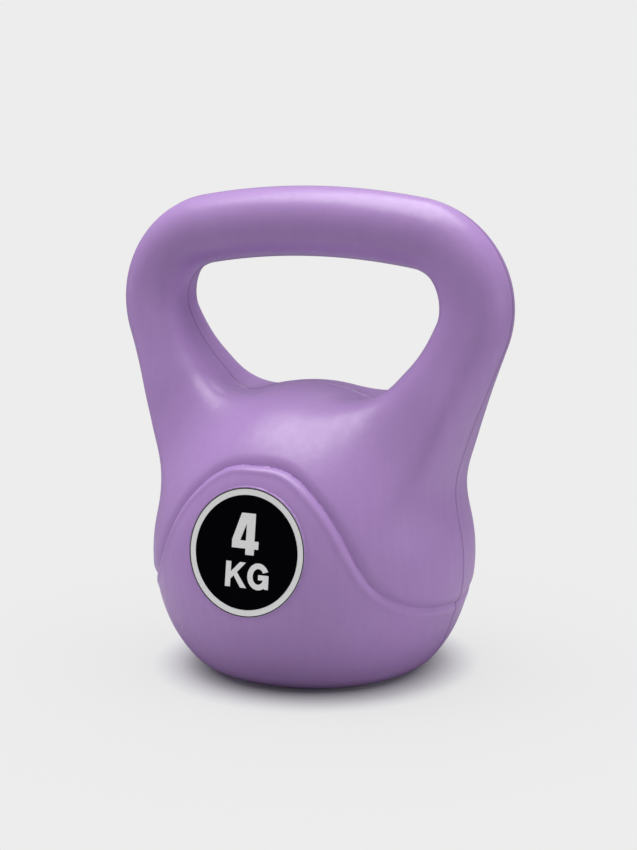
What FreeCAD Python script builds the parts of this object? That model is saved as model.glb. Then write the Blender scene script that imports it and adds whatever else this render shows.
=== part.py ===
import FreeCAD, Part
import Sketcher
import math
import os

# A kettlebell for exercise at home: one hollow moulded shell round one heavy casting,
# closed by a plug in the foot and marked by a label disc front and back.
# Millimetres. +Z is up, -Y is the front, and the origin is the middle of the foot, on the floor.

# Driving dimensions: one row of the sheet for each, with its alias and its value.
SIZES = (
    # The handle's centreline: a shallow arc over the grip, a corner each side, a straight horn.
    ("grip_height", 197.4),
    ("grip_arc", 307.0),
    ("corner_arc", 32.2),
    ("loop_half_width", 77.8),
    ("horn_lean", 19.3),
    ("horn_end_height", 117.8),
    ("horn_end_reach", 27.3),
    # The handle's section, as half-widths at the grip and at the horns' ends, and how it goes
    # from round at the grip to squarish there.
    ("grip_half_height", 14.9),
    ("grip_half_depth", 14.6),
    ("root_inner", 29.4),
    ("root_outer", 11.8),
    ("root_half_depth", 26.4),
    ("flare_start", 0.81),
    ("flare_end_blend", 16.0),
    ("inner_growth", 3.75),
    ("outer_growth", 1.83),
    ("depth_growth", 1.84),
    ("inner_squareness", 3.5),
    ("outer_squareness", 2.12),
    ("squareness_start", 0.6),
    ("squareness_run", 32.0),
    ("side_blend", 30.0),
    # The belly: a squarish ball with its own rise above its middle and drop below it.
    ("belly_height", 51.1),
    ("belly_half_width", 71.5),
    ("belly_half_depth", 70.0),
    ("belly_rise", 76.3),
    ("belly_drop", 69.8),
    ("belly_squareness", 2.08),
    # How softly the horns run into the belly: tight in the valley inside the loop, and widening
    # towards the outside and over this reach towards the front and back. Then the foot's edge.
    ("inner_blend", 11.4),
    ("outer_blend", 23.4),
    ("front_blend_reach", 24.2),
    ("foot_blend", 8.1),
    ("foot_trim", 0.3),
    # The shell's wall, and the shrinkage gap round the casting.
    ("wall", 2.8),
    ("fill_gap", 0.2),
    # The flat face and shallow seat for each label.
    ("label_height", 64.4),
    ("label_radius", 26.9),
    ("label_thickness", 0.25),
    ("label_land", 1.0),
    ("label_edge_blend", 2.5),
    ("seat_depth", 0.3),
    ("seat_clearance", 0.15),
    # The hollow under the foot, the filling hole in its roof, and the plug.
    ("hollow_radius", 17.0),
    ("hollow_depth", 3.0),
    ("hollow_draft", 0.8),
    ("hole_radius", 10.0),
    ("plug_clearance", 0.1),
    ("flange_margin", 3.5),
    ("flange_thickness", 1.6),
    ("barb_grip", 1.0),
    ("barb_height", 3.0),
    ("nose_taper", 1.5),
    ("nose_length", 3.2),
    ("plug_pocket_clearance", 0.4),
)

# How many sections go round the loop, and how many points round each section.
SECTIONS = 120
SECTION_POINTS = 64
MARCH_STEP = 3.0
HALVINGS = 20

# The plug's sizes, each from what it fits.
FLANGE_RADIUS = "(Sizes.hollow_radius - Sizes.flange_margin)"
BARB_RADIUS = "(Sizes.hole_radius + Sizes.barb_grip)"
NOSE_RADIUS = "(Sizes.hole_radius - Sizes.nose_taper)"
PLUG_LENGTH = "(Sizes.wall + Sizes.barb_height + Sizes.nose_length)"


def blend(first, second, width):
    """Smooth minimum of two fields, which fillets where they meet over about this width."""
    overlap = max(width - abs(first - second), 0.0) / width
    return min(first, second) - overlap * overlap * width / 4.0


def ease(share):
    """A step from 0 to 1 with no kink at either end."""
    share = min(max(share, 0.0), 1.0)
    return share * share * (3.0 - 2.0 * share)


class Form:
    """The kettlebell's outside as a field: negative inside, and nearly a distance close to the skin."""

    def __init__(self, size):
        self.size = size
        self.lean = math.radians(size["horn_lean"])
        self.grip_centre_z = size["grip_height"] - size["grip_arc"]
        self.corner_x = size["loop_half_width"] - size["corner_arc"]
        spread = size["grip_arc"] - size["corner_arc"]
        self.corner_z = self.grip_centre_z + math.sqrt(spread ** 2 - self.corner_x ** 2)
        self.corner_turn = math.asin(self.corner_x / spread)
        self.horn_turn = math.pi / 2 + self.lean
        self.horn_x = self.corner_x + size["corner_arc"] * math.cos(self.lean)
        self.horn_z = self.corner_z - size["corner_arc"] * math.sin(self.lean)
        self.grip_run = size["grip_arc"] * self.corner_turn
        self.corner_run = size["corner_arc"] * (self.horn_turn - self.corner_turn)
        self.horn_run = (self.horn_z - size["horn_end_height"]) / math.cos(self.lean)
        self.flare_run = size["flare_start"] * (self.grip_run + self.corner_run)
        self.squareness_start_run = size["squareness_start"] * (self.grip_run + self.corner_run)
        self.whole_run = self.grip_run + self.corner_run + self.horn_run
        belly_top = size["belly_height"] + size["belly_rise"]
        grip_underside = size["grip_height"] - size["grip_half_height"]
        self.window_z = (belly_top + grip_underside) / 2
        self.reach = size["grip_height"] + size["loop_half_width"]
        self.set_label_face()

    def set_label_face(self):
        """Place the flat face so that it is as wide as the label and its land, and square to the belly."""
        size = self.size
        power = size["belly_squareness"]
        lift = size["label_height"] - size["belly_height"]
        rise = size["belly_rise"] if lift > 0 else size["belly_drop"]
        girth = math.sqrt(1.0 - (lift / rise) ** 2)
        land_share = (size["label_radius"] + size["label_land"]) / size["belly_half_width"]
        skin_y = size["belly_half_depth"] * girth
        self.face_y = size["belly_half_depth"] * (girth ** power - land_share ** power) ** (1.0 / power)
        self.face_tilt = math.atan((lift / rise ** 2) / (skin_y / size["belly_half_depth"] ** 2))

    def near_arc(self, x, z, centre_x, centre_z, radius, turns):
        """Gap to an arc, the side of it and the turn from straight up where it is nearest."""
        turn = math.atan2(x - centre_x, z - centre_z)
        if turn < -math.pi / 2:
            turn += 2 * math.pi
        turn = min(max(turn, turns[0]), turns[1])
        near_x = centre_x + radius * math.sin(turn)
        near_z = centre_z + radius * math.cos(turn)
        side = math.hypot(x - centre_x, z - centre_z) - radius
        return math.hypot(x - near_x, z - near_z), side, turn

    def near_horn(self, x, z):
        """Gap to the straight horn, the side of it and the run down it where it is nearest."""
        down_x = -math.sin(self.lean)
        down_z = -math.cos(self.lean)
        run = (x - self.horn_x) * down_x + (z - self.horn_z) * down_z
        side = (z - self.horn_z) * down_x - (x - self.horn_x) * down_z
        beyond = max(run - self.horn_run, 0.0)
        fading = beyond ** 2 / (beyond + self.size["horn_end_reach"])
        gap = math.hypot(side, fading + min(run, 0.0))
        return gap, side, max(run, 0.0)

    def near_centreline(self, x, z):
        """Gap to the handle's centreline, the side of it, positive outwards, and the run along it."""
        size = self.size
        turns = (0.0, self.corner_turn)
        gap, side, turn = self.near_arc(x, z, 0.0, self.grip_centre_z, size["grip_arc"], turns)
        run = size["grip_arc"] * turn
        turns = (self.corner_turn, self.horn_turn)
        corner = self.near_arc(x, z, self.corner_x, self.corner_z, size["corner_arc"], turns)
        if corner[0] < gap:
            gap, side, turn = corner
            run = self.grip_run + size["corner_arc"] * (turn - self.corner_turn)
        horn = self.near_horn(x, z)
        if horn[0] < gap:
            gap, side, run = horn
            run += self.grip_run + self.corner_run
        return gap, side, run

    def handle(self, x, y, z):
        """The handle's field, and how far outside the loop the point is, from 0 to 1."""
        size = self.size
        gap, side, run = self.near_centreline(abs(x), z)
        flared = blend(run, self.whole_run, size["flare_end_blend"])
        share = max((flared - self.flare_run) / (self.whole_run - self.flare_run), 0.0)
        outside = ease(side / size["side_blend"] + 0.5)
        thin = size["grip_half_height"]
        inner = thin + (size["root_inner"] - thin) * share ** size["inner_growth"]
        outer = thin + (size["root_outer"] - thin) * share ** size["outer_growth"]
        deep = size["grip_half_depth"]
        deep += (size["root_half_depth"] - deep) * share ** size["depth_growth"]
        across = inner + (outer - inner) * outside
        squareness = size["inner_squareness"] + (size["outer_squareness"] - size["inner_squareness"]) * outside
        squared = (run - self.squareness_start_run) / size["squareness_run"]
        power = 2.0 + (squareness - 2.0) * ease(squared)
        field = ((gap / across) ** power + (abs(y) / deep) ** power) ** (1.0 / power) - 1.0
        return field * min(across, deep), outside

    def belly(self, x, y, z):
        """The belly's field, made nearly a distance by dividing by its own slope."""
        size = self.size
        power = size["belly_squareness"]
        lift = z - size["belly_height"]
        rise = size["belly_rise"] if lift > 0 else size["belly_drop"]
        wide = max(abs(x) / size["belly_half_width"], 1e-6)
        deep = max(abs(y) / size["belly_half_depth"], 1e-6)
        girth = (wide ** power + deep ** power) ** (1.0 / power)
        whole = math.hypot(girth, lift / rise)
        slope_x = (wide / girth) ** (power - 1.0) / size["belly_half_width"]
        slope_y = (deep / girth) ** (power - 1.0) / size["belly_half_depth"]
        slope = math.sqrt(girth ** 2 * (slope_x ** 2 + slope_y ** 2) + (lift / rise ** 2) ** 2) / whole
        return (whole - 1.0) / slope

    def field(self, x, y, z):
        """The whole outside: belly and handle blended, with the label faces and the foot cut softly flat."""
        size = self.size
        handle, outside = self.handle(x, y, z)
        inside_valley = (1.0 - outside) * (1.0 - ease(abs(y) / size["front_blend_reach"]))
        width = size["outer_blend"] + (size["inner_blend"] - size["outer_blend"]) * inside_valley
        body = blend(self.belly(x, y, z), handle, width)
        face = (abs(y) - self.face_y) * math.cos(self.face_tilt)
        face += (z - size["label_height"]) * math.sin(self.face_tilt)
        body = -blend(-body, -face, size["label_edge_blend"])
        foot = -size["foot_trim"] - z
        return -blend(-body, -foot, size["foot_blend"])

    def outward(self, point):
        """Unit normal of the skin at a point on it."""
        step = 0.05
        slope = []
        for axis in (FreeCAD.Vector(step, 0, 0), FreeCAD.Vector(0, step, 0), FreeCAD.Vector(0, 0, step)):
            ahead = point + axis
            behind = point - axis
            slope.append(self.field(ahead.x, ahead.y, ahead.z) - self.field(behind.x, behind.y, behind.z))
        return FreeCAD.Vector(*slope).normalize()

    def is_inside(self, point):
        return self.field(point.x, point.y, point.z) < 0

    def skin_point(self, start, step):
        """The first point of the skin from a start, going in steps along a line and then halving the last."""
        started_inside = self.is_inside(start)
        ahead = start + step
        while self.is_inside(ahead) == started_inside:
            ahead = ahead + step
        behind = ahead - step
        for _ in range(HALVINGS):
            middle = (behind + ahead) * 0.5
            if self.is_inside(middle) == started_inside:
                behind = middle
            else:
                ahead = middle
        return (behind + ahead) * 0.5

    def section(self, angle):
        """Points of the skin round one section of the loop, seen from the middle of the window."""
        away = FreeCAD.Vector(math.cos(angle), 0, math.sin(angle))
        window = FreeCAD.Vector(0, 0, self.window_z)
        near = self.skin_point(window, away * MARCH_STEP)
        far = self.skin_point(window + away * self.reach, away * -MARCH_STEP)
        middle = (near + far) * 0.5
        points = []
        for index in range(SECTION_POINTS):
            turn = 2 * math.pi * index / SECTION_POINTS
            ray = away * math.cos(turn) - FreeCAD.Vector(0, math.sin(turn), 0)
            points.append(self.skin_point(middle, ray * MARCH_STEP))
        return points

    def grid(self):
        """Every section round the loop, each point with its outward normal."""
        sections = []
        for index in range(SECTIONS):
            points = self.section(2 * math.pi * index / SECTIONS)
            sections.append([(point, self.outward(point)) for point in points])
        return sections


def ring(points):
    """A closed cubic curve through points, one knot to each."""
    curve = Part.BSplineCurve()
    knots = [float(index) for index in range(len(points) + 1)]
    curve.interpolate(Points=points, PeriodicFlag=True, Parameters=knots)
    return curve


def skin_solid(grid, inset):
    """A closed solid whose one smooth face runs through the grid, moved inwards by the inset."""
    sections = [ring([point - normal * inset for point, normal in row]) for row in grid]
    loops = [ring(list(poles)) for poles in zip(*[section.getPoles() for section in sections])]
    around = loops[0]
    across = sections[0]
    surface = Part.BSplineSurface()
    surface.buildFromPolesMultsKnots(
        [list(poles) for poles in zip(*[loop.getPoles() for loop in loops])],
        around.getMultiplicities(),
        across.getMultiplicities(),
        around.getKnots(),
        across.getKnots(),
        True,
        True,
        3,
        3,
    )
    solid = Part.Solid(Part.Shell([surface.toShape()]))
    if solid.Volume < 0:
        solid.reverse()
    return solid


def make_sheet(doc):
    """The spreadsheet of driving dimensions, and the same values read back from it."""
    sheet = doc.addObject("Spreadsheet::Sheet", "Sizes")
    for row, (alias, value) in enumerate(SIZES, start=1):
        sheet.set("A%d" % row, alias)
        sheet.set("B%d" % row, str(value))
        sheet.setAlias("B%d" % row, alias)
    doc.recompute()
    return {alias: float(sheet.get(alias)) for alias, _ in SIZES}


def add_solid(doc, name, shape):
    """A feature that holds a shape worked out above."""
    feature = doc.addObject("Part::Feature", name)
    feature.Shape = shape
    return feature


def add_floor_block(doc, name, top):
    """A block wide enough to trim everything below the height given as an expression."""
    block = doc.addObject("Part::Box", name)
    block.setExpression("Length", "4 * Sizes.belly_half_width")
    block.setExpression("Width", "4 * Sizes.belly_half_depth")
    block.setExpression("Height", "2 * Sizes.belly_drop")
    block.setExpression("Placement.Base.x", "-2 * Sizes.belly_half_width")
    block.setExpression("Placement.Base.y", "-2 * Sizes.belly_half_depth")
    block.setExpression("Placement.Base.z", top + " - 2 * Sizes.belly_drop")
    return block


def add_cone(doc, name, foot, crown, low, tall):
    """An upright cone on the vertical axis, from expressions for its radii, lowest height and height."""
    cone = doc.addObject("Part::Cone", name)
    cone.setExpression("Radius1", foot)
    cone.setExpression("Radius2", crown)
    cone.setExpression("Height", tall)
    cone.setExpression("Placement.Base.z", low)
    return cone


def add_disc(doc, name, radius, tall, placement):
    """A disc whose base circle lies at the placement."""
    disc = doc.addObject("Part::Cylinder", name)
    disc.setExpression("Radius", radius)
    disc.setExpression("Height", tall)
    disc.Placement = placement
    return disc


def add_fuse(doc, name, pieces):
    """Several cutters taken together."""
    fuse = doc.addObject("Part::MultiFuse", name)
    fuse.Shapes = pieces
    return fuse


def add_cut(doc, name, base, tool):
    """What is left of the base once the tool is taken away."""
    cut = doc.addObject("Part::Cut", name)
    cut.Base = base
    cut.Tool = tool
    return cut


def face_placement(form, side, depth):
    """On the label face of one side (-1 front, 1 back), this deep under it, with Z pointing out."""
    outward = FreeCAD.Vector(0, side * math.cos(form.face_tilt), math.sin(form.face_tilt))
    base = FreeCAD.Vector(0, side * form.face_y, form.size["label_height"]) - outward * depth
    return FreeCAD.Placement(base, FreeCAD.Rotation(FreeCAD.Vector(0, 0, 1), outward))


def add_labels(doc, form):
    """The two label discs, each lying on the floor of its seat."""
    labels = []
    for name, side in (("front_label", -1), ("back_label", 1)):
        place = face_placement(form, side, form.size["seat_depth"])
        labels.append(add_disc(doc, name, "Sizes.label_radius", "Sizes.label_thickness", place))
    return labels


def add_shell(doc, form, grid):
    """The moulded shell: a hollow skin with label seats, a hollow under the foot and a filling hole."""
    size = form.size
    outside = add_solid(doc, "outside_skin", skin_solid(grid, 0.0))
    outside = add_cut(doc, "outside_on_floor", outside, add_floor_block(doc, "under_floor", "0"))
    cavity = add_solid(doc, "cavity_skin", skin_solid(grid, size["wall"]))
    roof = add_cone(
        doc,
        "foot_hollow_roof",
        "Sizes.hollow_radius + Sizes.hollow_draft + Sizes.wall",
        "Sizes.hollow_radius + Sizes.wall",
        "Sizes.wall",
        "Sizes.hollow_depth",
    )
    trims = add_fuse(doc, "cavity_trims", [add_floor_block(doc, "under_wall", "Sizes.wall"), roof])
    cavity = add_cut(doc, "cavity", cavity, trims)
    hollow = add_cut(doc, "hollow_skin", outside, cavity)
    foot_hollow = add_cone(
        doc,
        "foot_hollow",
        "Sizes.hollow_radius + Sizes.hollow_draft",
        "Sizes.hollow_radius",
        "0",
        "Sizes.hollow_depth",
    )
    hole = add_disc(
        doc, "filling_hole", "Sizes.hole_radius", "Sizes.hollow_depth + 2 * Sizes.wall", FreeCAD.Placement()
    )
    seats = []
    for name, side in (("front_seat", -1), ("back_seat", 1)):
        place = face_placement(form, side, size["seat_depth"])
        radius = "Sizes.label_radius + Sizes.seat_clearance"
        seats.append(add_disc(doc, name, radius, "Sizes.wall", place))
    return add_cut(doc, "shell", hollow, add_fuse(doc, "shell_cuts", [foot_hollow, hole] + seats))


def add_ballast(doc, form, grid):
    """The casting: it stands on the shell's floor and clears the wall by the shrinkage gap elsewhere."""
    size = form.size
    casting = add_solid(doc, "casting_skin", skin_solid(grid, size["wall"] + size["fill_gap"]))
    floor_trim = add_floor_block(doc, "under_casting", "Sizes.wall")
    roof = add_cone(
        doc,
        "casting_hollow",
        "Sizes.hollow_radius + Sizes.hollow_draft + Sizes.wall + Sizes.fill_gap",
        "Sizes.hollow_radius + Sizes.wall + Sizes.fill_gap",
        "Sizes.wall",
        "Sizes.hollow_depth + Sizes.fill_gap",
    )
    pocket = add_disc(
        doc,
        "plug_pocket",
        BARB_RADIUS + " + Sizes.plug_pocket_clearance",
        "Sizes.hollow_depth + Sizes.plug_pocket_clearance + " + PLUG_LENGTH,
        FreeCAD.Placement(),
    )
    return add_cut(doc, "ballast", casting, add_fuse(doc, "casting_trims", [floor_trim, roof, pocket]))


def outline_plug(sketch):
    """Half the plug's outline: a flange under the roof, a shank, a barb behind the wall and a nose."""
    under = "Sizes.hollow_depth"
    behind = "Sizes.hollow_depth + Sizes.wall + Sizes.plug_clearance"
    shank = "Sizes.hole_radius - Sizes.plug_clearance"
    corners = (
        ("0", under + " - Sizes.flange_thickness"),
        (FLANGE_RADIUS, under + " - Sizes.flange_thickness"),
        (FLANGE_RADIUS, under),
        (shank, under),
        (shank, behind),
        (BARB_RADIUS, behind),
        (NOSE_RADIUS, behind + " + Sizes.barb_height"),
        (NOSE_RADIUS, under + " + " + PLUG_LENGTH),
        ("0", under + " + " + PLUG_LENGTH),
    )
    points = [FreeCAD.Vector(sketch.evalExpression(x), sketch.evalExpression(y), 0) for x, y in corners]
    for start, end in zip(points, points[1:] + points[:1]):
        sketch.addGeometry(Part.LineSegment(start, end))
    for index, (radius, rise) in enumerate(corners):
        following = (index + 1) % len(corners)
        sketch.addConstraint(Sketcher.Constraint("Coincident", index, 2, following, 1))
        if radius == "0":
            sketch.addConstraint(Sketcher.Constraint("PointOnObject", index, 1, -2))
        else:
            bind(sketch, Sketcher.Constraint("DistanceX", -1, 1, index, 1, points[index].x), radius)
        bind(sketch, Sketcher.Constraint("DistanceY", -1, 1, index, 1, points[index].y), rise)


def bind(sketch, constraint, expression):
    """Add a constraint whose value is an expression of the sheet."""
    number = sketch.addConstraint(constraint)
    sketch.setExpression("Constraints[%d]" % number, expression)


def add_plug(doc):
    """The plug, turned about the vertical axis."""
    body = doc.addObject("PartDesign::Body", "fill_plug")
    sketch = body.newObject("Sketcher::SketchObject", "plug_outline")
    planes = {origin.Role: origin for origin in body.Origin.OriginFeatures}
    sketch.AttachmentSupport = [(planes["XZ_Plane"], "")]
    sketch.MapMode = "FlatFace"
    outline_plug(sketch)
    turned = body.newObject("PartDesign::Revolution", "plug_turned")
    turned.Profile = sketch
    turned.ReferenceAxis = (sketch, ["V_Axis"])
    turned.Angle = 360
    return body


def check_objects(doc, pieces):
    """Stop if any feature failed or any piece is not one valid solid."""
    for item in doc.Objects:
        if "Invalid" in item.State or "Error" in item.State:
            raise RuntimeError("%s failed: %s" % (item.Name, item.State))
    for piece in pieces:
        shape = piece.Shape
        if shape.isNull() or not shape.isValid() or len(shape.Solids) != 1:
            raise RuntimeError("%s is not one valid solid" % piece.Label)


def main():
    doc = FreeCAD.newDocument("kettlebell")
    form = Form(make_sheet(doc))
    grid = form.grid()
    pieces = [add_shell(doc, form, grid), add_ballast(doc, form, grid), add_plug(doc)]
    pieces += add_labels(doc, form)
    for piece in pieces:
        piece.Label = piece.Name
    doc.recompute()
    check_objects(doc, pieces)
    os.makedirs("parts", exist_ok=True)
    for piece in pieces:
        piece.Shape.exportStep("parts/%s.step" % piece.Label)
        print(piece.Label, round(piece.Shape.Volume / 1000, 2), "ml", piece.Shape.BoundBox)


main()
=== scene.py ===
import math

import bmesh
import bpy
import numpy as np
from mathutils import Matrix, Vector


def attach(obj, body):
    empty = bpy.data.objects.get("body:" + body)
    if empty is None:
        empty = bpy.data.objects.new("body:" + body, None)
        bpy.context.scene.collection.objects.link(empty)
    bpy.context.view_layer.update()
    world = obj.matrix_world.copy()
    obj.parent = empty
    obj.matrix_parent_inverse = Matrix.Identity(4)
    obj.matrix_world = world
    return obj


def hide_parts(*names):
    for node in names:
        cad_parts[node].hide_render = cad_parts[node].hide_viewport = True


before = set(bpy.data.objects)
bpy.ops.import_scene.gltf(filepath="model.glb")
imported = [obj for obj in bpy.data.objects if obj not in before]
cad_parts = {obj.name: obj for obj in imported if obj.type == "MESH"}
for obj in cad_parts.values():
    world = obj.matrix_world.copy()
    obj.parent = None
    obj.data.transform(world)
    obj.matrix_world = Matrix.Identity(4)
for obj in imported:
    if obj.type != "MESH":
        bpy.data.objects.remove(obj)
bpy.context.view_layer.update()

# Shapes are worked out in millimetres, as the CAD is, and brought to metres when a piece is made.
MM = 0.001

# ---------------------------------------------------------------- the moulded form

GRIP_HEIGHT = 197.4
GRIP_ARC = 307.0
CORNER_ARC = 32.2
LOOP_HALF_WIDTH = 77.8
HORN_LEAN = math.radians(19.3)
HORN_END_HEIGHT = 117.8
HORN_END_REACH = 27.3
GRIP_HALF_HEIGHT = 14.9
GRIP_HALF_DEPTH = 14.6
ROOT_INNER = 29.4
ROOT_OUTER = 11.8
ROOT_HALF_DEPTH = 26.4
FLARE_START = 0.81
FLARE_END_BLEND = 16.0
INNER_GROWTH = 3.75
OUTER_GROWTH = 1.83
DEPTH_GROWTH = 1.84
INNER_SQUARENESS = 3.5
OUTER_SQUARENESS = 2.12
SQUARENESS_START = 0.6
SQUARENESS_RUN = 32.0
SIDE_BLEND = 30.0
BELLY_HEIGHT = 51.1
BELLY_HALF_WIDTH = 71.5
BELLY_HALF_DEPTH = 70.0
BELLY_RISE = 76.3
BELLY_DROP = 69.8
BELLY_SQUARENESS = 2.08
INNER_BLEND = 11.4
OUTER_BLEND = 23.4
FRONT_BLEND_REACH = 24.2
FOOT_BLEND = 8.1
FOOT_TRIM = 0.3
LABEL_HEIGHT = 64.4
LABEL_RADIUS = 26.9
LABEL_LAND = 1.0
LABEL_EDGE_BLEND = 2.5
SEAT_DEPTH = 0.3
SEAT_CLEARANCE = 0.15
WINDOW_HEIGHT = 154.95

CROWN_HEIGHT = GRIP_HEIGHT - GRIP_ARC
CORNER_X = LOOP_HALF_WIDTH - CORNER_ARC
CORNER_Z = CROWN_HEIGHT + math.sqrt((GRIP_ARC - CORNER_ARC) ** 2 - CORNER_X**2)
CORNER_TURN = math.asin(CORNER_X / (GRIP_ARC - CORNER_ARC))
HORN_X = CORNER_X + CORNER_ARC * math.cos(HORN_LEAN)
HORN_Z = CORNER_Z - CORNER_ARC * math.sin(HORN_LEAN)
GRIP_RUN = GRIP_ARC * CORNER_TURN
CORNER_RUN = CORNER_ARC * (math.pi / 2 + HORN_LEAN - CORNER_TURN)
HORN_RUN = (HORN_Z - HORN_END_HEIGHT) / math.cos(HORN_LEAN)


def label_face():
    """How far forward the label's flat face is at the label's centre, and how much it tilts up."""
    n, lift = BELLY_SQUARENESS, (LABEL_HEIGHT - BELLY_HEIGHT) / BELLY_RISE
    middle = BELLY_HALF_DEPTH * math.sqrt(1 - lift**2)
    tilt = math.atan2(lift / BELLY_RISE, middle / BELLY_HALF_DEPTH**2)
    reach = (LABEL_RADIUS + LABEL_LAND) / BELLY_HALF_WIDTH
    forward = BELLY_HALF_DEPTH * ((1 - lift**2) ** (n / 2) - reach**n) ** (1 / n)
    return forward, tilt


FACE_Y, FACE_TILT = label_face()


def ease(t):
    t = np.clip(t, 0.0, 1.0)
    return t * t * (3.0 - 2.0 * t)


def join(a, b, width):
    """Two forms run together, with the corner between them filled over a width."""
    h = np.maximum(width - np.abs(a - b), 0.0) / width
    return np.minimum(a, b) - h * h * width / 4.0


def trim(a, b, width):
    """One form cut by another, with the edge rounded over a width."""
    return -join(-a, -b, width)


def along_handle(x, z):
    """Distance from the handle's middle line, the side of it a point is on, and how far along it is."""
    x = np.abs(x)
    turn = np.clip(np.arctan2(x, z - CROWN_HEIGHT), 0, CORNER_TURN)
    grip = (
        np.hypot(x - GRIP_ARC * np.sin(turn), z - CROWN_HEIGHT - GRIP_ARC * np.cos(turn)),
        np.hypot(x, z - CROWN_HEIGHT) - GRIP_ARC,
        GRIP_ARC * turn,
    )
    turn = np.arctan2(x - CORNER_X, z - CORNER_Z)
    turn = np.where(turn < -math.pi / 2, turn + 2 * math.pi, turn)
    turn = np.clip(turn, CORNER_TURN, math.pi / 2 + HORN_LEAN)
    corner = (
        np.hypot(x - CORNER_X - CORNER_ARC * np.sin(turn), z - CORNER_Z - CORNER_ARC * np.cos(turn)),
        np.hypot(x - CORNER_X, z - CORNER_Z) - CORNER_ARC,
        GRIP_RUN + CORNER_ARC * (turn - CORNER_TURN),
    )
    down_x, down_z = -math.sin(HORN_LEAN), -math.cos(HORN_LEAN)
    run = (x - HORN_X) * down_x + (z - HORN_Z) * down_z
    side = (z - HORN_Z) * down_x - (x - HORN_X) * down_z
    beyond = np.maximum(run - HORN_RUN, 0)
    fading = beyond**2 / (beyond + HORN_END_REACH)
    horn = (
        np.hypot(side, fading + np.minimum(run, 0)),
        side,
        GRIP_RUN + CORNER_RUN + np.maximum(run, 0),
    )
    nearest = np.argmin(np.stack([grip[0], corner[0], horn[0]]), 0)
    return [np.choose(nearest, [g, c, h]) for g, c, h in zip(grip, corner, horn)]


def handle_form(x, y, z):
    """How far outside the handle a point is, and how much it is on the handle's outer side."""
    gap, side, run = along_handle(x, z)
    start = FLARE_START * (GRIP_RUN + CORNER_RUN)
    whole_run = GRIP_RUN + CORNER_RUN + HORN_RUN
    share = np.maximum((join(run, whole_run, FLARE_END_BLEND) - start) / (whole_run - start), 1e-9)
    inner = GRIP_HALF_HEIGHT + (ROOT_INNER - GRIP_HALF_HEIGHT) * share**INNER_GROWTH
    outer = GRIP_HALF_HEIGHT + (ROOT_OUTER - GRIP_HALF_HEIGHT) * share**OUTER_GROWTH
    deep = GRIP_HALF_DEPTH + (ROOT_HALF_DEPTH - GRIP_HALF_DEPTH) * share**DEPTH_GROWTH
    outside = ease(side / SIDE_BLEND + 0.5)
    across = inner + (outer - inner) * outside
    squareness = INNER_SQUARENESS + (OUTER_SQUARENESS - INNER_SQUARENESS) * outside
    square_from = SQUARENESS_START * (GRIP_RUN + CORNER_RUN)
    power = 2 + (squareness - 2) * ease((run - square_from) / SQUARENESS_RUN)
    reach = ((gap / across) ** power + (np.abs(y) / deep) ** power + 1e-12) ** (1 / power)
    return (reach - 1) * np.minimum(across, deep), outside


def belly_form(x, y, z):
    """How far outside the belly a point is."""
    n, lift = BELLY_SQUARENESS, z - BELLY_HEIGHT
    rise = np.where(lift > 0, BELLY_RISE, BELLY_DROP)
    across, deep, up = np.abs(x) / BELLY_HALF_WIDTH, np.abs(y) / BELLY_HALF_DEPTH, np.abs(lift) / rise
    girth = (across**n + deep**n + 1e-12) ** (1 / n)
    whole = np.sqrt(girth**2 + up**2 + 1e-12)
    share = girth / whole
    slope_x = share * girth ** (1 - n) * across ** (n - 1) / BELLY_HALF_WIDTH
    slope_y = share * girth ** (1 - n) * deep ** (n - 1) / BELLY_HALF_DEPTH
    slope_z = up / whole / rise
    return (whole - 1) / (np.sqrt(slope_x**2 + slope_y**2 + slope_z**2) + 1e-9)


def form(points):
    """How far outside the whole moulding each point is, in millimetres."""
    x, y, z = points.T
    belly = belly_form(x, y, z)
    handle, outside = handle_form(x, y, z)
    inward = (1 - outside) * (1 - ease(np.abs(y) / FRONT_BLEND_REACH))
    whole = join(belly, handle, OUTER_BLEND + (INNER_BLEND - OUTER_BLEND) * inward)
    flat = (np.abs(y) - FACE_Y) * math.cos(FACE_TILT) + (z - LABEL_HEIGHT) * math.sin(FACE_TILT)
    whole = trim(whole, flat, LABEL_EDGE_BLEND)
    return trim(whole, -FOOT_TRIM - z, FOOT_BLEND)


def outward(points, step=0.04):
    """The form's outward direction at each point, and how steeply it grows there."""
    slope = np.empty_like(points)
    for k in range(3):
        move = np.zeros(3)
        move[k] = step
        slope[:, k] = (form(points + move) - form(points - move)) / (2 * step)
    size = np.linalg.norm(slope, axis=1)[:, None]
    return slope / size, size


def settle(points, times=3):
    """Points near the form, laid exactly on it."""
    for _ in range(times):
        direction, size = outward(points)
        points = points - direction * form(points)[:, None] / size
    return points


def reach_out(starts, directions, furthest, step=1.0):
    """The first place where a ray from inside the form leaves it."""
    runs = np.arange(0, furthest, step)
    spots = starts[:, None, :] + directions[:, None, :] * runs[None, :, None]
    outside = form(spots.reshape(-1, 3)).reshape(len(starts), len(runs)) > 0
    high = runs[np.argmax(outside, 1)]
    low = np.maximum(high - step, 0)
    for _ in range(14):
        middle = (low + high) / 2
        out = form(starts + directions * middle[:, None]) > 0
        high = np.where(out, middle, high)
        low = np.where(out, low, middle)
    return starts + directions * ((low + high) / 2)[:, None]


# ---------------------------------------------------------------- the line moulded round the belly

# The line falls from an arch over the label to a low run at the sides. Heights are in millimetres and
# the place of the fall in degrees round from the front's middle.
WAVE_CREST = 99.9
WAVE_LOW = 31.4
WAVE_FALL_AT = 38.7
SLOW_FALL = 3.6
SHARP_FALL = 15.8
SHARP_SHARE = 0.22
WAVE_UPPER_FLANK = 5.0
WAVE_LOWER_FLANK = 2.4
WAVE_DEPTH = 1.7
LOWER_BELLY_SET_BACK = 0.9
ARCH_CREST = 0.5
CREST_AWAY = -3.4
CREST_WIDTH = 1.35
WAVE_STATIONS = 720
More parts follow.
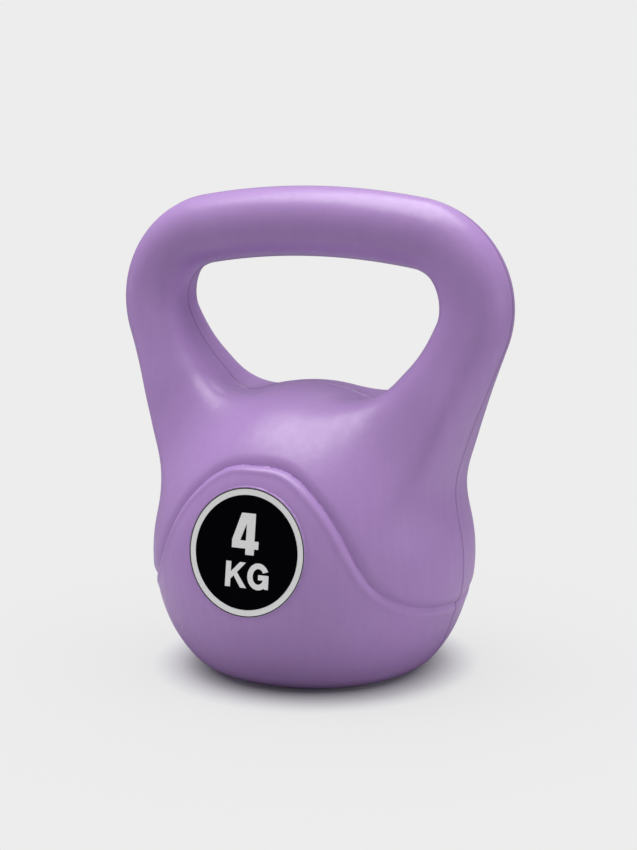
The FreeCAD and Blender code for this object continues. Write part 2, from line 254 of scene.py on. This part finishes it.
# Only points in this band of heights are measured from the line; others count as far off.
LINE_BAND = (5, 125)
LINE_REACH = 12
FAR_OFF = 99.0


def wave_height(turn):
    """The line's height at each angle: a slow fall with a sharper one in it, mirrored at front and sides."""
    way_round = np.abs((turn + 90.0) % 180.0 - 90.0) / WAVE_FALL_AT
    slow = 1 / (1 + way_round**SLOW_FALL)
    sharp = 1 / (1 + way_round**SHARP_FALL)
    return WAVE_LOW + (WAVE_CREST - WAVE_LOW) * (slow + (sharp - slow) * SHARP_SHARE)


def lay_wave_line():
    """Stations along the line on the belly, and the direction across it at each, pointing up or out."""
    turn = np.arange(WAVE_STATIONS) * 360.0 / WAVE_STATIONS
    angle = np.radians(turn)
    flat = np.stack([np.sin(angle), -np.cos(angle), np.zeros_like(angle)], 1)
    starts = np.zeros_like(flat)
    for offset, weight in zip((-5.0, -2.5, 0.0, 2.5, 5.0), (1, 4, 6, 4, 1)):
        starts[:, 2] += wave_height(turn + offset) * weight / 16
    stations = reach_out(starts, flat, 110.0)
    along = np.roll(stations, -1, 0) - np.roll(stations, 1, 0)
    along /= np.linalg.norm(along, axis=1)[:, None]
    return stations, np.cross(outward(stations)[0], along)


def across_wave(points, stations, uphill):
    """How far above the line each point is, measured across it on the surface."""
    away = np.full(len(points), FAR_OFF)
    near = np.where((points[:, 2] > LINE_BAND[0]) & (points[:, 2] < LINE_BAND[1]))[0]
    for block in np.array_split(near, max(1, len(near) // 4000)):
        gaps = np.linalg.norm(points[block, None, :] - stations[None, :, :], axis=2)
        closest = np.argmin(gaps, 1)
        offset = points[block] - stations[closest]
        side = np.einsum("ij,ij->i", offset, uphill[closest])
        away[block] = np.where(gaps.min(1) < LINE_REACH, side, np.sign(side) * gaps.min(1))
    return away


def from_label(points):
    """How far each point is from the nearer label's middle, measured across its face."""
    up = (points[:, 2] - LABEL_HEIGHT) / math.cos(FACE_TILT)
    return np.where(np.abs(points[:, 1]) > FACE_Y * 0.8, np.hypot(points[:, 0], up), FAR_OFF)


def wave_relief(points, away):
    """The groove's depth and the lower belly's set-back at each point."""
    sideways = points[:, 0] ** 2 / (points[:, 0] ** 2 + points[:, 1] ** 2 + 1e-9)
    lower = -LOWER_BELLY_SET_BACK * sideways * ease(1 + away / 34) * ease((points[:, 2] - 4) / 24)
    soft = -WAVE_DEPTH * np.clip(1 - away / WAVE_UPPER_FLANK, 0, 1) ** 2
    sharp = lower + (-WAVE_DEPTH - lower) * np.clip(1 + away / WAVE_LOWER_FLANK, 0, 1) ** 2
    crest = ARCH_CREST * (1 - 0.6 * sideways) * np.exp(-(((away - CREST_AWAY) / CREST_WIDTH) ** 2))
    clear = ease((from_label(points) - LABEL_RADIUS - 1.2) / 2.5)
    return np.where(away > 0, soft, sharp + crest) * clear


# ---------------------------------------------------------------- the shell's skin

SEAM_TOP, SEAM_FOOT, SEAM_HEIGHT = 0.2, 0.6, 0.28
PLAIN_EDGE, LINE_EDGE, RIM_EDGE = 1.5, 0.7, 0.5


def numbers(bm):
    return np.array([v.co for v in bm.verts], float)


def place(bm, points):
    for vert, point in zip(bm.verts, points):
        vert.co = point


def sweep_ring():
    """A plain ring swept round the hand window, carried out to the form section by section."""
    bm = bmesh.new()
    middle = 60.0
    section = Matrix.Translation((middle, 0, WINDOW_HEIGHT))
    bmesh.ops.create_circle(bm, segments=32, radius=20.0, matrix=section)
    bmesh.ops.spin(
        bm,
        geom=bm.verts[:] + bm.edges[:],
        cent=(0, 0, WINDOW_HEIGHT),
        axis=(0, 1, 0),
        dvec=(0, 0, 0),
        angle=2 * math.pi,
        steps=72,
        use_merge=True,
    )
    points = numbers(bm)
    lift = points[:, 2] - WINDOW_HEIGHT
    ring = np.hypot(points[:, 0], lift)
    ray = np.stack([points[:, 0] / ring, np.zeros_like(ring), lift / ring], 1)
    runs = np.arange(2.0, 230.0)
    spots = ray[:, None, :] * runs[None, :, None] + np.array([0, 0, WINDOW_HEIGHT])
    inside = form(spots.reshape(-1, 3)).reshape(len(ring), len(runs)) < 0
    first = np.argmax(inside, 1)
    last = len(runs) - 1 - np.argmax(inside[:, ::-1], 1)
    centre = ray * ((runs[first] + runs[last]) / 2)[:, None] + np.array([0, 0, WINDOW_HEIGHT])
    aim = ray * (ring - middle)[:, None] + np.stack([0 * ring, points[:, 1], 0 * ring], 1)
    aim /= np.linalg.norm(aim, axis=1)[:, None]
    place(bm, reach_out(centre, aim, 150.0))
    return bm


def refine(bm, wanted):
    """Halves every edge that is longer than wanted at its middle, then evens the mesh out on the form."""
    bm.verts.index_update()
    points = numbers(bm)
    ends = np.array([(e.verts[0].index, e.verts[1].index) for e in bm.edges])
    length = np.linalg.norm(points[ends[:, 0]] - points[ends[:, 1]], axis=1)
    limit = wanted(points[ends].mean(1)) * 1.35
    long_edges = [e for e, too_long in zip(bm.edges[:], length > limit) if too_long]
    bmesh.ops.subdivide_edges(bm, edges=long_edges, cuts=1, use_grid_fill=True)
    bmesh.ops.triangulate(bm, faces=bm.faces[:])
    free = [e for e in bm.edges if abs(e.verts[0].co.y) + abs(e.verts[1].co.y) > 0.01]
    bmesh.ops.beautify_fill(bm, faces=bm.faces[:], edges=free, method="ANGLE")
    for _ in range(2):
        on_seam = [v for v in bm.verts if abs(v.co.y) < 0.005]
        bmesh.ops.smooth_vert(
            bm, verts=bm.verts[:], factor=0.5, use_axis_x=True, use_axis_y=True, use_axis_z=True
        )
        for vert in on_seam:
            vert.co.y = 0.0
        place(bm, settle(numbers(bm), 2))


def face_frame(side):
    """Across, up and out of the label's face, about its centre. side is -1 in front and 1 behind."""
    across = Vector((-side, 0, 0))
    up = Vector((0, -side * math.sin(FACE_TILT), math.cos(FACE_TILT)))
    out = Vector((0, side * math.cos(FACE_TILT), math.sin(FACE_TILT)))
    turn = Matrix((across, up, out)).transposed().to_4x4()
    return Matrix.Translation((0, side * FACE_Y, LABEL_HEIGHT)) @ turn


def open_disc(bm, frame_of, radius, deep=2.0):
    """Takes out the faces inside a circle and returns the edges left round the opening."""
    inverse = frame_of.inverted()
    gone = []
    for face in bm.faces:
        spots = [inverse @ v.co for v in face.verts]
        if all(math.hypot(s.x, s.y) < radius and abs(s.z) < deep for s in spots):
            gone.append(face)
    bmesh.ops.delete(bm, geom=gone, context="FACES")
    return [e for e in bm.edges if e.is_boundary]


def sink_rings(bm, rim, frame_of, profile, segments=128):
    """Bridges an opening to a true circle and carries that circle through a profile of radius and height."""
    radius, height = profile[0]
    made = bmesh.ops.create_circle(
        bm, segments=segments, radius=radius, matrix=frame_of @ Matrix.Translation((0, 0, height))
    )
    circle = list(dict.fromkeys(e for v in made["verts"] for e in v.link_edges))
    bmesh.ops.bridge_loops(bm, edges=rim + circle)
    for wide, high in profile[1:]:
        grown = bmesh.ops.extrude_edge_only(bm, edges=circle)["geom"]
        verts = [g for g in grown if isinstance(g, bmesh.types.BMVert)]
        circle = [g for g in grown if isinstance(g, bmesh.types.BMEdge) and g.is_boundary]
        move = Matrix.Diagonal((wide / radius, wide / radius, 1, 1))
        move = Matrix.Translation((0, 0, high - height)) @ move
        bmesh.ops.transform(bm, matrix=frame_of @ move @ frame_of.inverted(), verts=verts)
        radius, height = wide, high
    bmesh.ops.contextual_create(bm, geom=circle)


def make_skin():
    """The whole outside of the moulding as one closed mesh."""
    stations, uphill = lay_wave_line()

    def wanted(points):
        line = np.abs(across_wave(points, stations, uphill) + 0.5)
        rim = np.abs(from_label(points) - LABEL_RADIUS - 0.6)
        edge = PLAIN_EDGE + (LINE_EDGE - PLAIN_EDGE) * (1 - ease((line - 3) / 5))
        return np.minimum(edge, RIM_EDGE + (PLAIN_EDGE - RIM_EDGE) * ease((rim - 0.7) / 3))

    bm = sweep_ring()
    for size in (6.0, 3.2, 1.7, 1.0, 1.0):
        refine(bm, lambda points: wanted(points) * size)
    for height in (-SEAM_FOOT, -SEAM_TOP, SEAM_TOP, SEAM_FOOT):
        everything = bm.verts[:] + bm.edges[:] + bm.faces[:]
        bmesh.ops.bisect_plane(bm, geom=everything, dist=1e-4, plane_co=(0, height, 0), plane_no=(0, 1, 0))
    points = settle(numbers(bm), 2)
    direction, _ = outward(points)
    relief = wave_relief(points, across_wave(points, stations, uphill))
    seam = SEAM_HEIGHT * (1 - ease((np.abs(points[:, 1]) - SEAM_TOP) / (SEAM_FOOT - SEAM_TOP)))
    relief += seam * ease((points[:, 2] - 3) / 5)
    points = points + direction * relief[:, None]
    points[:, 2] = np.maximum(points[:, 2], 0.0)
    place(bm, points)
    rim_radius = LABEL_RADIUS + SEAT_CLEARANCE
    seat = ((rim_radius + 0.22, 0), (rim_radius + 0.06, -0.06), (rim_radius, -0.2), (rim_radius, -SEAT_DEPTH))
    for side in (-1, 1):
        where = face_frame(side)
        sink_rings(bm, open_disc(bm, where, rim_radius + 0.75), where, seat)
    foot = Matrix.Identity(4)
    well = (
        (18.1, 0), (17.8, 0.25), (17.0, 2.85), (16.8, 3.0), (10.15, 3.0),
        (10.0, 3.15), (10.0, 5.8), (11.6, 5.8), (11.6, 12.7),
    )
    sink_rings(bm, open_disc(bm, foot, 18.8, 0.2), foot, well, 96)
    bmesh.ops.recalc_face_normals(bm, faces=bm.faces[:])
    return bm


def finished(bm, name, body="root"):
    """A bmesh in millimetres made a smooth-shaded piece that rides on the body."""
    bm.transform(Matrix.Scale(MM, 4))
    mesh = bpy.data.meshes.new(name)
    bm.to_mesh(mesh)
    bm.free()
    for polygon in mesh.polygons:
        polygon.use_smooth = True
    mesh.set_sharp_from_angle(angle=math.radians(38))
    piece = bpy.data.objects.new(name, mesh)
    bpy.context.scene.collection.objects.link(piece)
    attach(piece, body)
    return piece


# ---------------------------------------------------------------- materials


def new_material(name):
    material = bpy.data.materials.new(name)
    material.use_nodes = True
    tree = material.node_tree
    return material, tree, tree.nodes["Principled BSDF"]


def add(tree, kind, **settings):
    node = tree.nodes.new(kind)
    for key, value in settings.items():
        setattr(node, key, value)
    return node


def place_reading(tree, scale):
    """Object coordinates through a Mapping node that stretches the pattern."""
    where = add(tree, "ShaderNodeTexCoord")
    mapping = add(tree, "ShaderNodeMapping")
    mapping.inputs["Scale"].default_value = scale
    tree.links.new(where.outputs["Object"], mapping.inputs["Vector"])
    return mapping.outputs["Vector"]


def noise(tree, vector, scale, detail=3.0, roughness=0.5):
    node = add(tree, "ShaderNodeTexNoise")
    node.inputs["Scale"].default_value = scale
    node.inputs["Detail"].default_value = detail
    node.inputs["Roughness"].default_value = roughness
    tree.links.new(vector, node.inputs["Vector"])
    return node.outputs["Fac"]


def remap(tree, value, low, high, to_low, to_high):
    node = add(tree, "ShaderNodeMapRange")
    for key, number in zip(("From Min", "From Max", "To Min", "To Max"), (low, high, to_low, to_high)):
        node.inputs[key].default_value = number
    tree.links.new(value, node.inputs["Value"])
    return node.outputs["Result"]


def tint(tree, factor, first, second):
    node = add(tree, "ShaderNodeMix", data_type="RGBA")
    node.inputs["A"].default_value = (*first, 1)
    node.inputs["B"].default_value = (*second, 1)
    tree.links.new(factor, node.inputs["Factor"])
    return node.outputs["Result"]


def bumped(tree, shader, height, strength, distance, under=None):
    node = add(tree, "ShaderNodeBump")
    node.inputs["Strength"].default_value = strength
    node.inputs["Distance"].default_value = distance
    tree.links.new(height, node.inputs["Height"])
    if under is not None:
        tree.links.new(under, node.inputs["Normal"])
    tree.links.new(node.outputs["Normal"], shader.inputs["Normal"])
    return node.outputs["Normal"]


LAVENDER = (0.415, 0.252, 0.548)
LAVENDER_DEEP = (0.384, 0.228, 0.52)
# Painted shade: the dark colour laid along the raised parting line stands in for the shade at the ridge's
# flanks.
PARTING_LINE_SHADE = (0.1, 0.06, 0.14)


def lavender_plastic():
    material, tree, shader = new_material("lavender_moulded_plastic")
    flow = noise(tree, place_reading(tree, (1, 1, 0.1)), 300, 4)
    cloud = noise(tree, place_reading(tree, (1, 1, 1)), 26, 3)
    mottle = noise(tree, place_reading(tree, (1, 1, 1)), 170, 3)
    mixed = add(tree, "ShaderNodeMath", operation="ADD")
    tree.links.new(remap(tree, cloud, 0.35, 0.65, 0, 0.5), mixed.inputs[0])
    tree.links.new(remap(tree, flow, 0.3, 0.7, 0, 0.5), mixed.inputs[1])
    body_colour = tint(tree, mixed.outputs[0], LAVENDER, LAVENDER_DEEP)
    where = add(tree, "ShaderNodeSeparateXYZ")
    tree.links.new(place_reading(tree, (1, 1, 1)), where.inputs[0])
    off_line = add(tree, "ShaderNodeMath", operation="ABSOLUTE")
    tree.links.new(where.outputs["Y"], off_line.inputs[0])
    # Painted shade along the parting line: the colour is darkened by up to half within 0.6 mm of the middle
    # plane.
    seam_shade_share = remap(tree, off_line.outputs[0], 0.0002, 0.0006, 0.5, 0)
    with_seam_shade = add(tree, "ShaderNodeMix", data_type="RGBA")
    with_seam_shade.inputs["B"].default_value = (*PARTING_LINE_SHADE, 1)
    tree.links.new(seam_shade_share, with_seam_shade.inputs["Factor"])
    tree.links.new(body_colour, with_seam_shade.inputs["A"])
    tree.links.new(with_seam_shade.outputs["Result"], shader.inputs["Base Color"])
    tree.links.new(remap(tree, flow, 0.3, 0.7, 0.31, 0.4), shader.inputs["Roughness"])
    shader.inputs["Specular IOR Level"].default_value = 0.5
    fine = noise(tree, place_reading(tree, (1, 1, 1)), 1400, 2)
    base = bumped(tree, shader, flow, 0.22, 0.0004)
    base = bumped(tree, shader, mottle, 0.16, 0.0006, base)
    bumped(tree, shader, fine, 0.06, 0.0002, base)
    return material


def label_black():
    # The black ink of the label's printed field, also laid on the ring of painted shadow at the label's edge.
    material, tree, shader = new_material("label_black_print_and_edge_shadow")
    grain = noise(tree, place_reading(tree, (1, 1, 1)), 900, 2)
    ink = tint(tree, grain, (0.0004, 0.0005, 0.0014), (0.0008, 0.0009, 0.002))
    tree.links.new(ink, shader.inputs["Base Color"])
    tree.links.new(remap(tree, grain, 0.3, 0.7, 0.42, 0.5), shader.inputs["Roughness"])
    shader.inputs["Specular IOR Level"].default_value = 0.03
    bumped(tree, shader, grain, 0.05, 0.0001)
    return material


def label_silver():
    material, tree, shader = new_material("label_silver_print")
    grain = noise(tree, place_reading(tree, (1, 1, 1)), 1800, 2)
    ink = tint(tree, remap(tree, grain, 0.35, 0.65, 0, 1), (0.77, 0.77, 0.77), (0.82, 0.82, 0.82))
    tree.links.new(ink, shader.inputs["Base Color"])
    tree.links.new(remap(tree, grain, 0.3, 0.7, 0.42, 0.52), shader.inputs["Roughness"])
    bumped(tree, shader, grain, 0.05, 0.0001)
    return material


def cement():
    material, tree, shader = new_material("cement_and_sand")
    sand = noise(tree, place_reading(tree, (1, 1, 1)), 900, 4)
    stones = add(tree, "ShaderNodeTexVoronoi", feature="F1")
    stones.inputs["Scale"].default_value = 240
    tree.links.new(place_reading(tree, (1, 1, 1)), stones.inputs["Vector"])
    grey = tint(tree, remap(tree, sand, 0.3, 0.7, 0, 1), (0.16, 0.155, 0.145), (0.3, 0.29, 0.27))
    tree.links.new(grey, shader.inputs["Base Color"])
    shader.inputs["Roughness"].default_value = 0.9
    base = bumped(tree, shader, stones.outputs["Distance"], 0.4, 0.0008)
    bumped(tree, shader, sand, 0.5, 0.0004, base)
    return material


def plug_rubber():
    material, tree, shader = new_material("plug_black_rubber")
    dust = noise(tree, place_reading(tree, (1, 1, 1)), 500, 4)
    black = tint(tree, remap(tree, dust, 0.45, 0.75, 0, 1), (0.012, 0.012, 0.013), (0.03, 0.03, 0.032))
    tree.links.new(black, shader.inputs["Base Color"])
    tree.links.new(remap(tree, dust, 0.3, 0.7, 0.55, 0.72), shader.inputs["Roughness"])
    bumped(tree, shader, dust, 0.2, 0.0002)
    return material


def dress(obj, material):
    obj.data.materials.clear()
    obj.data.materials.append(material)


# ---------------------------------------------------------------- label marks

BLACK_SHARE = 0.89
LABEL_THICKNESS = 0.25
FILM_TOP = -SEAT_DEPTH + LABEL_THICKNESS
BLACK_LIFT, MARK_LIFT, EDGE_SHADOW_LIFT = 0.05, 0.04, 0.03
# The thin black ring at the label's outer edge lies between these radii: painted shadow of the gap between
# the label and the shell, not print.
EDGE_SHADOW_RADII = (0.998, 0.983)

FOUR = (
    ((-0.108, 0.61), (0.137, 0.61), (0.137, 0.183), (0.21, 0.183), (0.21, 0.06), (0.137, 0.06),
     (0.137, -0.034), (-0.012, -0.034), (-0.012, 0.06), (-0.254, 0.06), (-0.254, 0.187)),
    ((-0.012, 0.45), (-0.012, 0.183), (-0.112, 0.183)),
)
LETTER_K = (
    ((-0.335, -0.155), (-0.245, -0.155), (-0.245, -0.315), (-0.092, -0.155), (0.013, -0.155),
     (-0.137, -0.315), (0.04, -0.55), (-0.068, -0.55), (-0.192, -0.372), (-0.245, -0.428),
     (-0.245, -0.55), (-0.335, -0.55)),
)


def letter_g():
    """An open round letter: an arc with a flat end at the top right, and a bar with a foot at the right."""
    centre_x, centre_z, wide, tall, stroke = 0.236, -0.352, 0.188, 0.207, 0.094

    def arc(scale_x, scale_z, start, end, steps):
        turns = [math.radians(start + (end - start) * i / steps) for i in range(steps + 1)]
        return [(centre_x + scale_x * math.cos(t), centre_z + scale_z * math.sin(t)) for t in turns]

    outer = arc(wide, tall, 26, 306, 40)
    inner = arc(wide - stroke, tall - stroke * 0.92, 322, 30, 36)
    right, low = centre_x + wide - 0.006, centre_z - tall + 0.022
    foot = [(right - 0.07, low), (right, low), (right, centre_z + 0.03), (centre_x, centre_z + 0.03),
            (centre_x, centre_z - 0.05), (right - stroke, centre_z - 0.05)]
    return (tuple(outer + foot + inner),)


def flat_mark(name, outlines, side, low, thick):
    """Outlines in label radii made a thin plate on the label's face."""
    curve = bpy.data.curves.new(name, "CURVE")
    curve.dimensions = "2D"
    curve.fill_mode = "BOTH"
    curve.extrude = thick / 2
    for outline in outlines:
        spline = curve.splines.new("POLY")
        spline.points.add(len(outline) - 1)
        for point, (x, z) in zip(spline.points, outline):
            point.co = (x * LABEL_RADIUS, z * LABEL_RADIUS, 0, 1)
        spline.use_cyclic_u = True
    holder = bpy.data.objects.new(name, curve)
    bpy.context.scene.collection.objects.link(holder)
    mesh = bpy.data.meshes.new_from_object(holder)
    bpy.data.objects.remove(holder)
    bm = bmesh.new()
    bm.from_mesh(mesh)
    bmesh.ops.remove_doubles(bm, verts=bm.verts[:], dist=0.001)
    bmesh.ops.recalc_face_normals(bm, faces=bm.faces[:])
    where = face_frame(side) @ Matrix.Translation((0, 0, low + thick / 2))
    bmesh.ops.transform(bm, matrix=where, verts=bm.verts[:])
    return finished(bm, name)


def black_disc(name, side):
    """The label's black field, a thin disc on the silver film."""
    bm = bmesh.new()
    bmesh.ops.create_circle(bm, cap_ends=True, segments=128, radius=LABEL_RADIUS * BLACK_SHARE)
    grown = bmesh.ops.extrude_face_region(bm, geom=bm.faces[:])["geom"]
    top = [g for g in grown if isinstance(g, bmesh.types.BMVert)]
    bmesh.ops.translate(bm, vec=(0, 0, BLACK_LIFT), verts=top)
    bmesh.ops.recalc_face_normals(bm, faces=bm.faces[:])
    where = face_frame(side) @ Matrix.Translation((0, 0, FILM_TOP))
    bmesh.ops.transform(bm, matrix=where, verts=bm.verts[:])
    return finished(bm, name)


def ring_outline(outer, inner, steps=128):
    """Two circles, in label radii, that bound a thin ring: here the black ring of painted shadow at the
    label's edge.
    """
    turns = [2 * math.pi * i / steps for i in range(steps)]
    return tuple(tuple((r * math.cos(t), r * math.sin(t)) for t in turns) for r in (outer, inner))


# ---------------------------------------------------------------- camera, floor and light

CAMERA_SPOT = (0.33977, -0.68209, 0.24523)
CAMERA_TURN, CAMERA_RISE, CAMERA_ROLL = 26.307, 10.245, -0.562
LENS = 74.12


def set_camera():
    turn, rise, roll = (math.radians(a) for a in (CAMERA_TURN, CAMERA_RISE, CAMERA_ROLL))
    back = Vector((math.sin(turn) * math.cos(rise), -math.cos(turn) * math.cos(rise), math.sin(rise)))
    right = Vector((math.cos(turn), math.sin(turn), 0))
    up = back.cross(right)
    across = right * math.cos(roll) + up * math.sin(roll)
    upward = up * math.cos(roll) - right * math.sin(roll)
    data = bpy.data.cameras.new("camera")
    data.lens = LENS
    data.sensor_width = 36.0
    data.clip_start, data.clip_end = 0.05, 60.0
    camera = bpy.data.objects.new("camera", data)
    bpy.context.scene.collection.objects.link(camera)
    facing = Matrix((across, upward, back)).transposed().to_4x4()
    camera.matrix_world = Matrix.Translation(CAMERA_SPOT) @ facing
    bpy.context.scene.camera = camera


BACKDROP = 0.846
ROOM_LIGHT = 0.18
BACKDROP_TONE = (1, 1, 0.998, 1)
PAPER_SEEN = (0.55, 0.54, 0.6)
# Colours of the light the floor throws back: near black under the foot as painted shade, brighter near the
# foot as a painted pool of light, and plainer far off.
BOUNCE_PAINTED_SHADE, BOUNCE_PAINTED_POOL, PAPER_FAR = 0.04, 0.46, 0.2
# Distances from the foot's middle, in metres: where the floor's own glow, seen only by the camera, comes
# back, steeply and then slowly, which paints the shadow round the foot; and where the light it throws on the
# belly rises from painted shade under the foot to a painted pool of light near it, and falls.
GLOW_FROM, GLOW_STEEP_TO, GLOW_FULL = 0.047, 0.074, 0.2
STEEP_SHARE = 0.86
BOUNCE_FROM, BOUNCE_FULL, BOUNCE_FADES, BOUNCE_LOW = 0.045, 0.105, 0.14, 0.4


def lay_floor():
    bm = bmesh.new()
    bmesh.ops.create_circle(bm, cap_ends=True, segments=96, radius=12.0)
    mesh = bpy.data.meshes.new("studio_floor")
    bm.to_mesh(mesh)
    bm.free()
    floor = bpy.data.objects.new("studio_floor", mesh)
    bpy.context.scene.collection.objects.link(floor)
    material, tree, shader = new_material("studio_floor_paper")
    tree.nodes.remove(shader)
    output = tree.nodes["Material Output"]
    seen = add(tree, "ShaderNodeLightPath").outputs["Is Camera Ray"]
    paper = add(tree, "ShaderNodeBsdfDiffuse")
    glow = add(tree, "ShaderNodeEmission")
    glow.inputs["Color"].default_value = BACKDROP_TONE
    glow.inputs["Strength"].default_value = BACKDROP
    where = add(tree, "ShaderNodeTexCoord")
    distance = add(tree, "ShaderNodeVectorMath", operation="LENGTH")
    tree.links.new(where.outputs["Object"], distance.inputs[0])
    shade = tint(tree, seen, (0, 0, 0), PAPER_SEEN)
    # Painted shade and light in the floor's bounce: dark under the foot, brightest in a ring near it, lower
    # far off.
    bounce = add(tree, "ShaderNodeMath", operation="SUBTRACT")
    rise = remap(tree, distance.outputs["Value"], BOUNCE_FROM, BOUNCE_FULL, BOUNCE_PAINTED_SHADE, BOUNCE_PAINTED_POOL)
    fade = BOUNCE_PAINTED_POOL - PAPER_FAR
    fall = remap(tree, distance.outputs["Value"], BOUNCE_FADES, BOUNCE_LOW, 0, fade)
    tree.links.new(rise, bounce.inputs[0])
    tree.links.new(fall, bounce.inputs[1])
    tree.links.new(bounce.outputs[0], shade.node.inputs["A"])
    tree.links.new(shade, paper.inputs["Color"])
    # Painted shadow round the foot: away from the foot the floor's glow takes over from the lit paper,
    # steeply and then slowly.
    near = remap(tree, distance.outputs["Value"], GLOW_FROM, GLOW_STEEP_TO, 0, STEEP_SHARE)
    far = remap(tree, distance.outputs["Value"], GLOW_STEEP_TO, GLOW_FULL, 0, 1 - STEEP_SHARE)
    both = add(tree, "ShaderNodeMath", operation="ADD")
    tree.links.new(near, both.inputs[0])
    tree.links.new(far, both.inputs[1])
    share = add(tree, "ShaderNodeMath", operation="MULTIPLY")
    tree.links.new(both.outputs[0], share.inputs[0])
    tree.links.new(seen, share.inputs[1])
    mix = add(tree, "ShaderNodeMixShader")
    tree.links.new(share.outputs[0], mix.inputs["Fac"])
    tree.links.new(paper.outputs[0], mix.inputs[1])
    tree.links.new(glow.outputs[0], mix.inputs[2])
    tree.links.new(mix.outputs[0], output.inputs["Surface"])
    mesh.materials.append(material)


def soft_light(name, spot, aim, size, power, in_reflections=True):
    data = bpy.data.lights.new(name, "AREA")
    data.shape = "RECTANGLE"
    data.size, data.size_y = size
    data.energy = power
    lamp = bpy.data.objects.new(name, data)
    bpy.context.scene.collection.objects.link(lamp)
    lamp.visible_glossy = in_reflections
    lamp.location = spot
    lamp.rotation_euler = (Vector(aim) - Vector(spot)).to_track_quat("-Z", "Y").to_euler()
    return lamp


def set_world(strength):
    world = bpy.data.worlds.new("studio")
    bpy.context.scene.world = world
    world.use_nodes = True
    tree = world.node_tree
    room = tree.nodes["Background"]
    room.inputs["Color"].default_value = (1, 1, 1, 1)
    room.inputs["Strength"].default_value = strength
    paper = add(tree, "ShaderNodeBackground")
    paper.inputs["Color"].default_value = BACKDROP_TONE
    paper.inputs["Strength"].default_value = BACKDROP
    seen = add(tree, "ShaderNodeLightPath")
    mix = add(tree, "ShaderNodeMixShader")
    tree.links.new(seen.outputs["Is Camera Ray"], mix.inputs["Fac"])
    tree.links.new(room.outputs[0], mix.inputs[1])
    tree.links.new(paper.outputs[0], mix.inputs[2])
    tree.links.new(mix.outputs[0], tree.nodes["World Output"].inputs["Surface"])


# ---------------------------------------------------------------- making it

bpy.context.scene.view_settings.view_transform = "Standard"
set_camera()
lay_floor()
set_world(ROOM_LIGHT)
soft_light("overhead_softbox", (-0.1, 0.05, 1.25), (-0.02, 0, 0.1), (1.2, 1.0), 20.8)
soft_light("front_fill", (0.45, -1.6, 0.1), (0, 0, 0.05), (1.8, 0.2), 5.6, False)
soft_light("right_fill", (1.5, 0.3, 0.25), (0, 0, 0.05), (1.4, 0.45), 10.5, False)
soft_light("left_fill", (-1.5, -0.4, 0.17), (0, 0, 0.05), (1.4, 0.32), 9.6, False)

plastic = lavender_plastic()
silver, black = label_silver(), label_black()

skin = finished(make_skin(), "shell_skin")
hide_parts("shell")
dress(skin, plastic)

for side, place_name in ((-1, "front"), (1, "back")):
    dress(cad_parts[place_name + "_label"], silver)
    field = black_disc(place_name + "_label_black_field", side)
    dress(field, black)
    # A thin black ring round each label's edge: painted shadow of the gap between the label and the shell.
    edge_shadow_outline = ring_outline(*EDGE_SHADOW_RADII)
    edge = flat_mark(place_name + "_label_painted_edge_shadow", edge_shadow_outline, side, FILM_TOP, EDGE_SHADOW_LIFT)
    dress(edge, black)
    for mark, outlines in (("four", FOUR), ("k", LETTER_K), ("g", letter_g())):
        mark_name = f"{place_name}_label_mark_{mark}"
        plate = flat_mark(mark_name, outlines, side, FILM_TOP + BLACK_LIFT, MARK_LIFT)
        dress(plate, silver)

dress(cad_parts["ballast"], cement())
dress(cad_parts["fill_plug"], plug_rubber())
